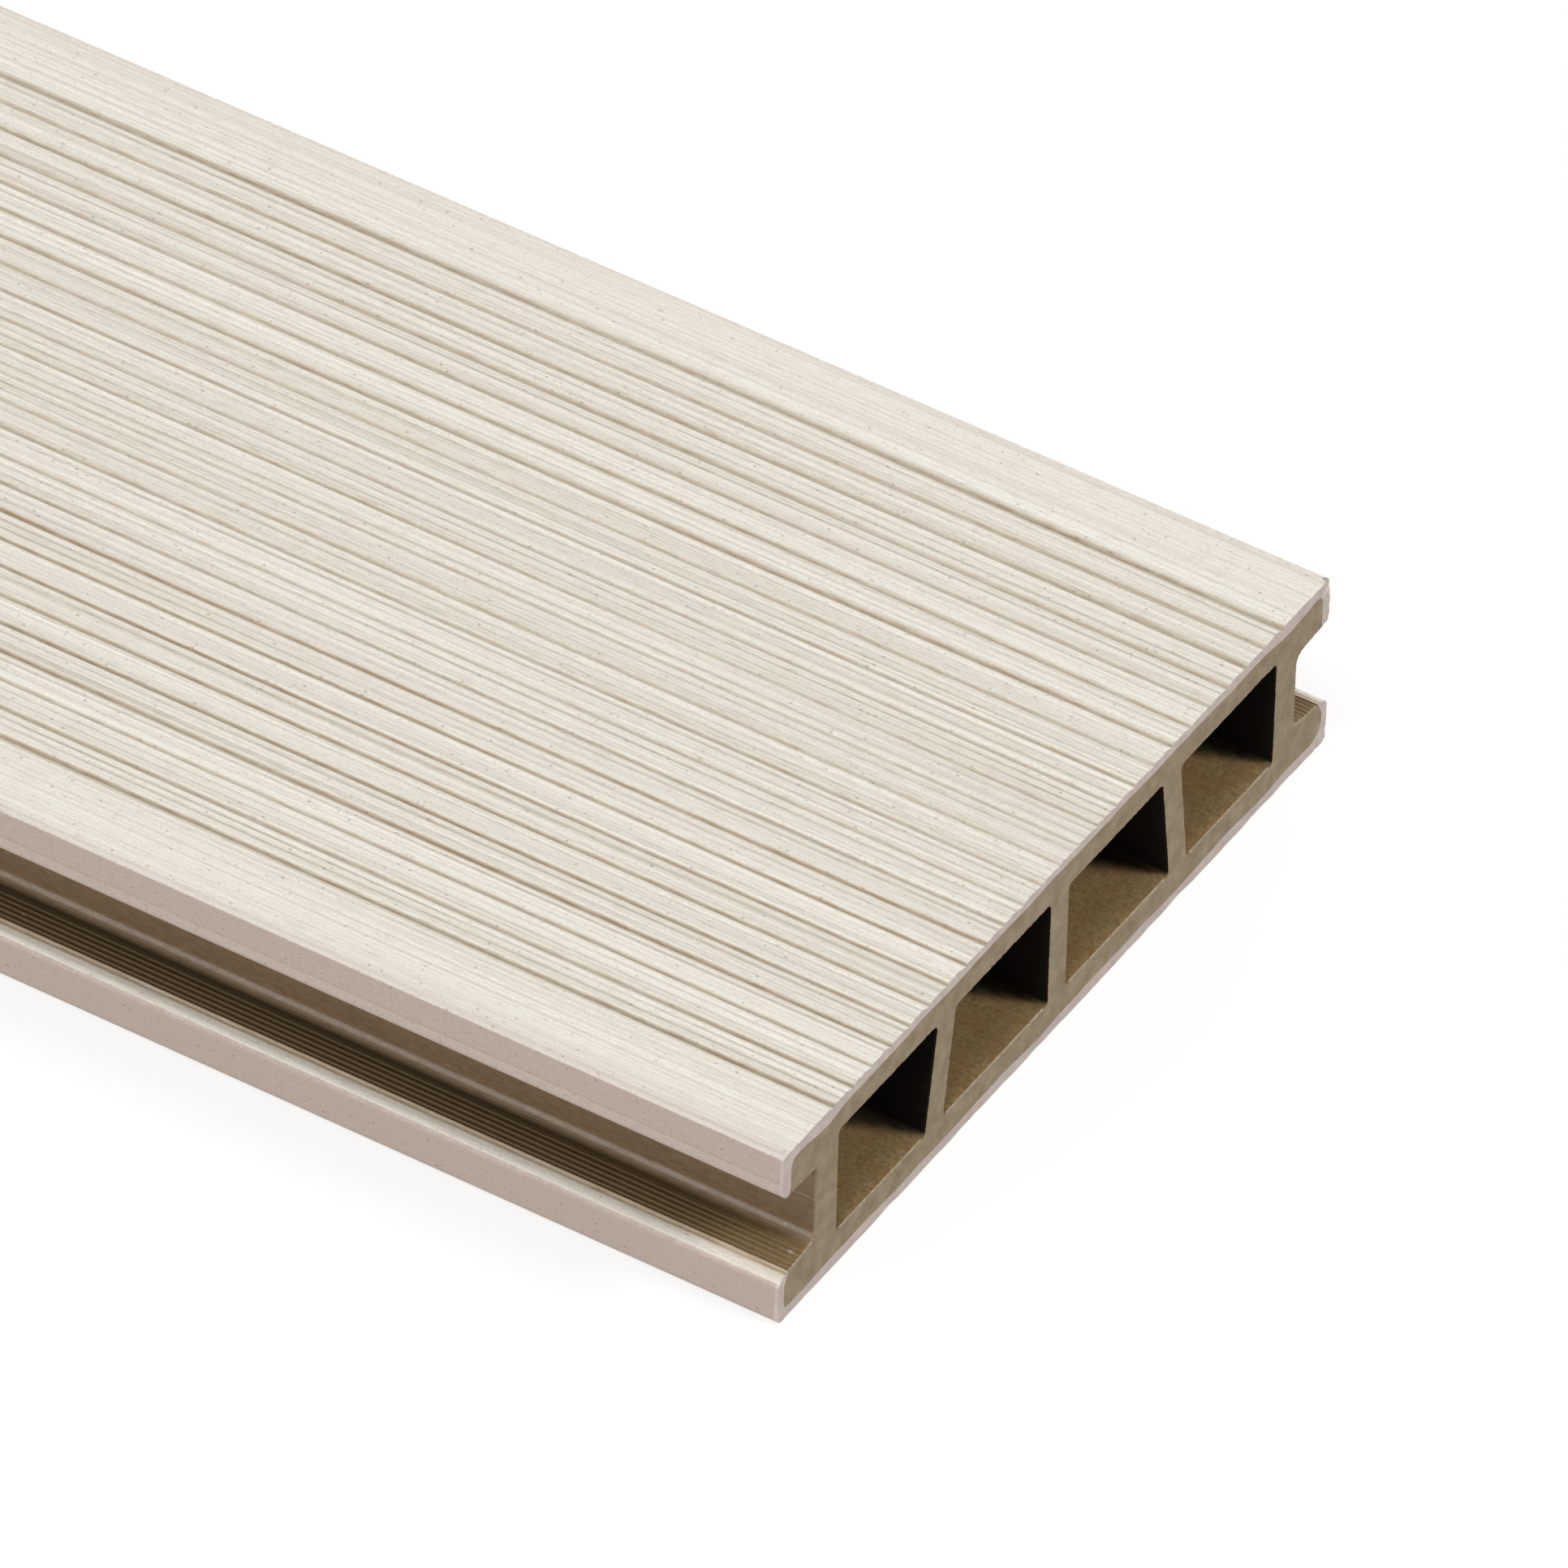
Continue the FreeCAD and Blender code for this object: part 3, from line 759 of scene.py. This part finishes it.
# Outer skin of the core: two slots between the seats of the caps, with die ridges on the slot floors
# and a thin raised line on the slot walls. A ridge is a squared raised cosine of the reach into the slot.
def outerSkin(depth, looks):
    p = place
    farSlot = slotLine(looks["farRoots"], looks["slotStep"])
    nearSlot = mirrored(slotLine(looks["nearRoots"], looks["slotStep"]))
    outer = np.concatenate([farSlot, topSeat[::-1][1:-1], nearSlot, baseSeat[::-1][1:-1]])
    free = np.zeros(len(outer), dtype=bool)
    free[1:len(farSlot) - 1] = True
    nearStart = len(farSlot) + len(topSeat) - 2
    free[nearStart + 1:nearStart + len(nearSlot) - 1] = True
    reach = p["bevelInner"] - np.abs(outer[:, 0])
    low = outer[:, 1] < (p["crestRoot"] + p["lipUnderRoot"]) / 2
    onFloor = free & low & (reach > looks["dieStart"])
    onDie = onFloor * np.clip((looks["dieReach"] - reach) / looks["dieSoft"], 0, 1)
    wave = np.cos(2 * np.pi * (reach - looks["dieFirst"]) / looks["diePitch"])
    crests = (0.5 + 0.5 * wave) ** 2 * onDie
    dent = looks["dieDepth"] * (1 - crests) * onDie
    # Painted shade on the slot floor by its root, under the upper lip
    shaded = onFloor * np.clip((looks["rootReach"] - reach) / looks["rootSoft"], 0, 1)
    wallHeight = p["lipUnderRoot"] + (p["crestRoot"] - p["lipUnderRoot"]) * looks["wallLine"]
    onWall = free & (np.abs(np.abs(outer[:, 0]) - p["slotWall"]) < looks["wallSlack"])
    raised = softBump(outer[:, 1], wallHeight, looks["wallLineWidth"]) * onWall
    dent = dent - looks["wallLineDepth"] * raised
    normal = ringNormals(outer)
    # The painted shade fades near the board's ends, where light falls in at the cut
    return dict(
        ring=outer - normal * dent[:, None], normal=normal, free=free, dull=shaded > looks["dullFrom"],
        rim=free * np.where(low & (reach < looks["rootReach"]), looks["lowRim"], looks["highRim"]),
        ridge=crests * (1 - looks["dieFade"] * reach) + looks["wallLineRidge"] * raised,
        slotShade=shaded * (1 - looks["endLight"] * np.exp(-depth / looks["endLightReach"])),
        chamberShade=np.zeros(len(outer)),
    )


# One chamber's ring: clockwise, so that its skin faces the hollow
def chamberRing(corners, step):
    p = place
    middle = ((corners[0][0] + corners[3][0]) / 2, p["chamberTop"], 0)
    loop = [middle] + [(across, up, p["chamberRound"]) for across, up in corners] + [middle]
    return roundedLine(loop, step)[:-1]


# Skins of the four chambers: walls and roof are dark as painted shade, and the floor has fine drawn lines.
# The floor's gloom, a painted shadow, grows from its walls with the depth from the nearer end.
def chamberSkins(depth, looks):
    p = place
    half = p["web"] / 2
    shapes = [[(p["cavityHalf"], p["chamberTop"]), (p["cavityHalf"], p["floorWall"]),
               (p["webBase"] + half, p["floorWall"]), (p["webTop"] + half, p["chamberTop"])],
              [(p["webTop"] - half, p["chamberTop"]), (p["webBase"] - half, p["floorWall"]),
               (half, p["floorWall"]), (half, p["chamberTop"])]]
    skins = []
    for corners in shapes:
        hole = chamberRing(corners, looks["chamberStep"])
        dim = np.clip((hole[:, 1] - p["floorWall"] - looks["dimStart"]) / looks["dimSoft"], 0, 1)
        fromWall = np.minimum(corners[1][0] - hole[:, 0], hole[:, 0] - corners[2][0])
        gloom = looks["gloomSlope"] * depth - fromWall + looks["gloomStart"] * looks["gloomSoft"]
        dim = np.maximum(dim, np.clip(gloom / looks["gloomSoft"], 0, looks["gloomMost"]))
        for ring, chamberShade in ((hole, dim), (mirrored(hole), dim[:, ::-1])):
            wave = looks["floorLineDepth"] * np.sin(2 * np.pi * ring[:, 0] / looks["floorLine"])
            onFloor = np.abs(ring[:, 1] - p["floorWall"]) < looks["floorSlack"]
            every = np.ones(len(ring), dtype=bool)
            none = np.zeros(len(ring))
            skins.append(dict(ring=ring + np.stack([none, wave * onFloor], 1), normal=ringNormals(ring),
                              free=every, dull=every, rim=onFloor * 1.0, ridge=none, slotShade=none, chamberShade=chamberShade))
    return skins


# Core: the outer skin and the chamber skins carried along the board, with broken edges at both ends
def makeCore(looks):
    x = endStations(looks["depths"], looks["step"])
    depth = endX - np.abs(x)[:, None]
    skins = [outerSkin(depth, looks)] + chamberSkins(depth, looks)
    rng = np.random.default_rng(looks["brokenSeed"])
    grids = []
    for skin in skins:
        count = len(skin["ring"])
        grid = np.empty((len(x), count, 3))
        grid[..., 0] = x[:, None]
        grid[..., 1:] = skin["ring"][None]
        worn = looks["brokenEdge"] * skin["free"] * rng.uniform(*looks["brokenSpread"], count)
        grid[[0, -1], :, 1:] -= skin["normal"] * worn[:, None]
        grids.append(grid)
    rims = [skin["rim"] for skin in skins]
    dulls = [skin["dull"] for skin in skins]
    marks = {name: [np.broadcast_to(skin[name], grid.shape[:2]) for skin, grid in zip(skins, grids)]
             for name in ("ridge", "slotShade", "chamberShade")}
    piece = sweptBar("hollow_core", grids, rims, dulls, marks, [coreMaterial, chamberMaterial])
    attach(piece, "root")
    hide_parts("core")


makeTopCap(topCapLooks)
makeBaseCap(baseCapLooks)
makeCore(coreBarLooks)


stageLooks = dict(
    floorHalf=6.0, floorColour=(0.25, 0.245, 0.24), floorGlow=0.78, sky=0.2,
    lamps=dict(endLamp=((0.69, 0.20, 0.695), 1.885, 20.0), sideLamp=((-0.35, -0.925, 0.15), 1.71, 20.0),
               overLamp=((0.05, -0.35, 0.935), 0.83, 20.0), backLamp=((-0.3, 0.93, 0.2), 0.9, 30.0)),
)


# One for rays that show the background: camera, glossy and transmission
def seenRays(tree):
    path = addNode(tree, "ShaderNodeLightPath")
    seen = mathNode(tree, "ADD", path.outputs["Is Camera Ray"], path.outputs["Is Glossy Ray"], clamp=True)
    return mathNode(tree, "ADD", seen, path.outputs["Is Transmission Ray"], clamp=True)


# Floor plane: a matt ground that reads as white to the camera and keeps the board's shadow
def makeFloor(looks):
    reach = looks["floorHalf"]
    mesh = bpy.data.meshes.new("floor")
    corners = [(-reach, -reach, 0), (reach, -reach, 0), (reach, reach, 0), (-reach, reach, 0)]
    mesh.from_pydata(corners, [], [(0, 1, 2, 3)])
    floor = bpy.data.objects.new("floor", mesh)
    bpy.context.scene.collection.objects.link(floor)
    material = bpy.data.materials.new("paleFloor")
    material.use_nodes = True
    tree = material.node_tree
    tree.nodes.clear()
    ground = setInputs(addNode(tree, "ShaderNodeBsdfDiffuse"), Color=(*looks["floorColour"], 1.0))
    glow = addNode(tree, "ShaderNodeEmission")
    tree.links.new(mathNode(tree, "MULTIPLY", seenRays(tree), looks["floorGlow"]), glow.inputs["Strength"])
    both = addNode(tree, "ShaderNodeAddShader")
    tree.links.new(ground.outputs[0], both.inputs[0])
    tree.links.new(glow.outputs[0], both.inputs[1])
    tree.links.new(both.outputs[0], addNode(tree, "ShaderNodeOutputMaterial").inputs["Surface"])
    mesh.materials.append(material)


def addLamp(name, source, strength, angle):
    lamp = bpy.data.lights.new(name, "SUN")
    lamp.energy = strength
    lamp.angle = np.radians(angle)
    holder = bpy.data.objects.new(name, lamp)
    holder.rotation_euler = Vector(source).to_track_quat("Z", "Y").to_euler()
    bpy.context.scene.collection.objects.link(holder)


# Dim even sky, white to the camera, and broad lamps: direction they come from, strength, angle across
def makeLight(looks):
    world = bpy.data.worlds.new("studio")
    bpy.context.scene.world = world
    world.use_nodes = True
    tree = world.node_tree
    tree.nodes.clear()
    sky = addNode(tree, "ShaderNodeBackground")
    strength = remap(tree, seenRays(tree), 0.0, 1.0, looks["sky"], 1.0)
    tree.links.new(strength, sky.inputs["Strength"])
    sky.inputs["Color"].default_value = (1, 1, 1, 1)
    tree.links.new(sky.outputs[0], addNode(tree, "ShaderNodeOutputWorld").inputs["Surface"])
    for name, (source, strength, angle) in looks["lamps"].items():
        addLamp(name, source, strength, angle)


cameraSetup = dict(aim=(1060.5, -7.1, boardTop), azimuth=31.22, elevation=42.12, roll=1.61,
                   distance=3273.0, lens=559.0, clipEnd=100.0)


# Camera on a long lens, placed by azimuth and elevation round a point on the top face
def makeCamera(setup):
    turn, lift, roll = np.radians([setup["azimuth"], setup["elevation"], setup["roll"]])
    ahead = np.array([-np.sin(turn) * np.cos(lift), np.cos(turn) * np.cos(lift), -np.sin(lift)])
    level = np.array([np.cos(turn), np.sin(turn), 0.0])
    upright = np.cross(level, ahead)
    across = level * np.cos(roll) + upright * np.sin(roll)
    upward = np.cross(across, ahead)
    spot = np.array(setup["aim"]) - ahead * setup["distance"]
    lens = bpy.data.cameras.new("camera")
    lens.lens = setup["lens"]
    lens.clip_end = setup["clipEnd"]
    camera = bpy.data.objects.new("camera", lens)
    turned = Matrix(np.stack([across, upward, -ahead], 1)).to_4x4()
    camera.matrix_world = Matrix.Translation(Vector(spot * mm)) @ turned
    bpy.context.scene.collection.objects.link(camera)
    bpy.context.scene.camera = camera


makeFloor(stageLooks)
makeLight(stageLooks)
makeCamera(cameraSetup)
bpy.context.scene.view_settings.view_transform = "Standard"
print("stage, light and camera set")
